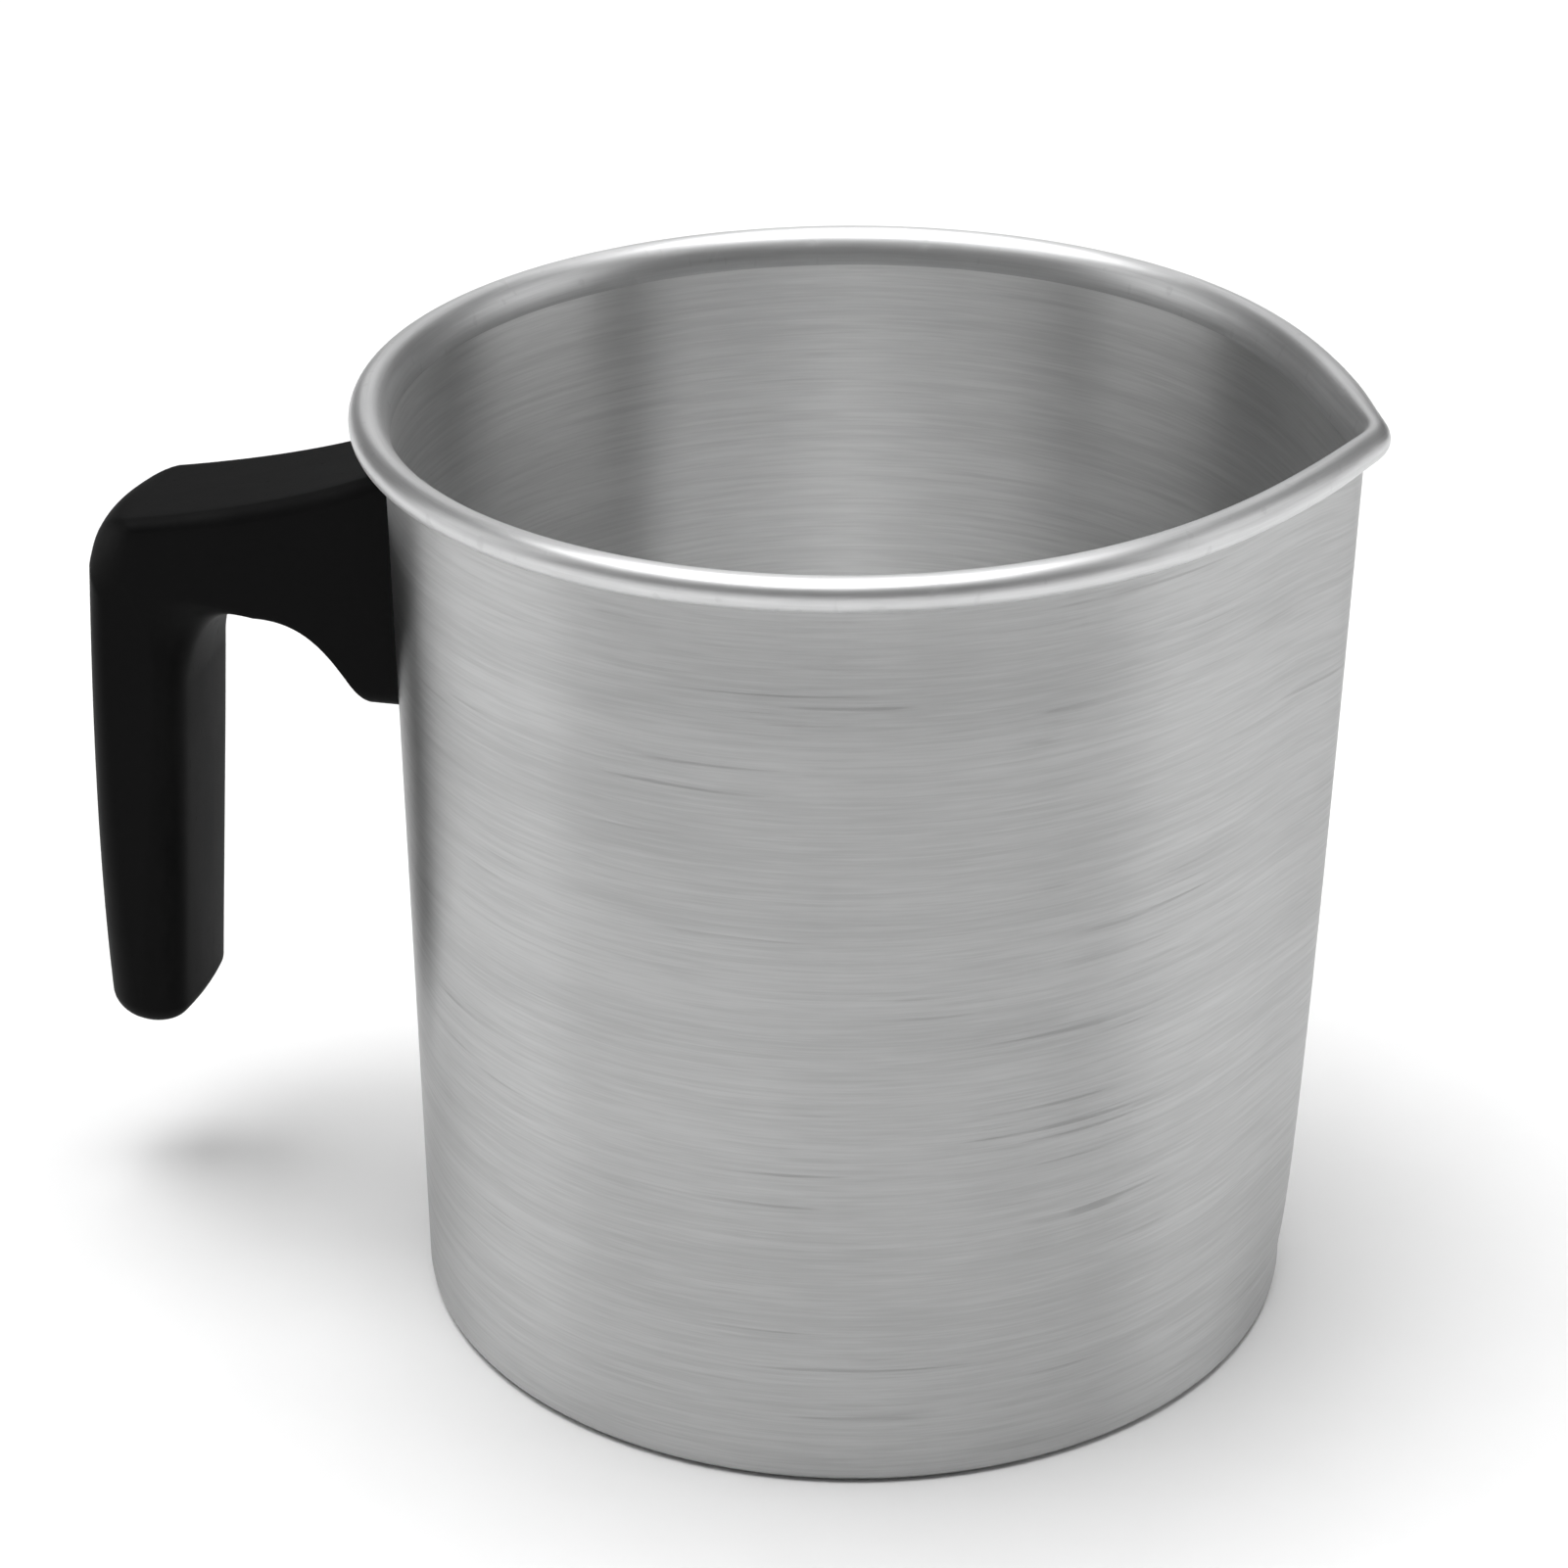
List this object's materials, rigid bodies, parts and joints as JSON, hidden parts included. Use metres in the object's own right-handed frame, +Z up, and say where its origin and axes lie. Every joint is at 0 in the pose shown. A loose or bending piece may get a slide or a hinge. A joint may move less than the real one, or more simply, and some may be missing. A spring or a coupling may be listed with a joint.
{
  "type": "wax melting pot",
  "caption": "Tall round pouring pot in brushed aluminium with a curled rim, a pinched lip and a black hook handle, for melting and pouring candle wax.",
  "frame": {"origin": "centre of the round base, on the surface the pot stands on", "axes": "+Z up along the pot's axis, +X towards the pouring lip, -X towards the handle"},
  "size_m": [0.2268, 0.1662, 0.166],
  "materials": {
    "brushed_aluminium": "brushed around the pot, satin",
    "black_phenolic": "moulded phenolic, satin black",
    "plated_steel": "bright zinc plated",
    "spring_steel": "oiled spring steel",
    "rivet_aluminium": "plain soft aluminium"
  },
  "bodies": {
    "root": {"pot_body": "brushed_aluminium", "handle": "black_phenolic", "handle_bracket": "plated_steel", "rivet_upper": "rivet_aluminium", "rivet_lower": "rivet_aluminium", "handle_screw": "plated_steel", "flat_washer": "plated_steel", "spring_washer": "spring_steel", "bracket_nut": "plated_steel"}
  },
  "joints": []
}
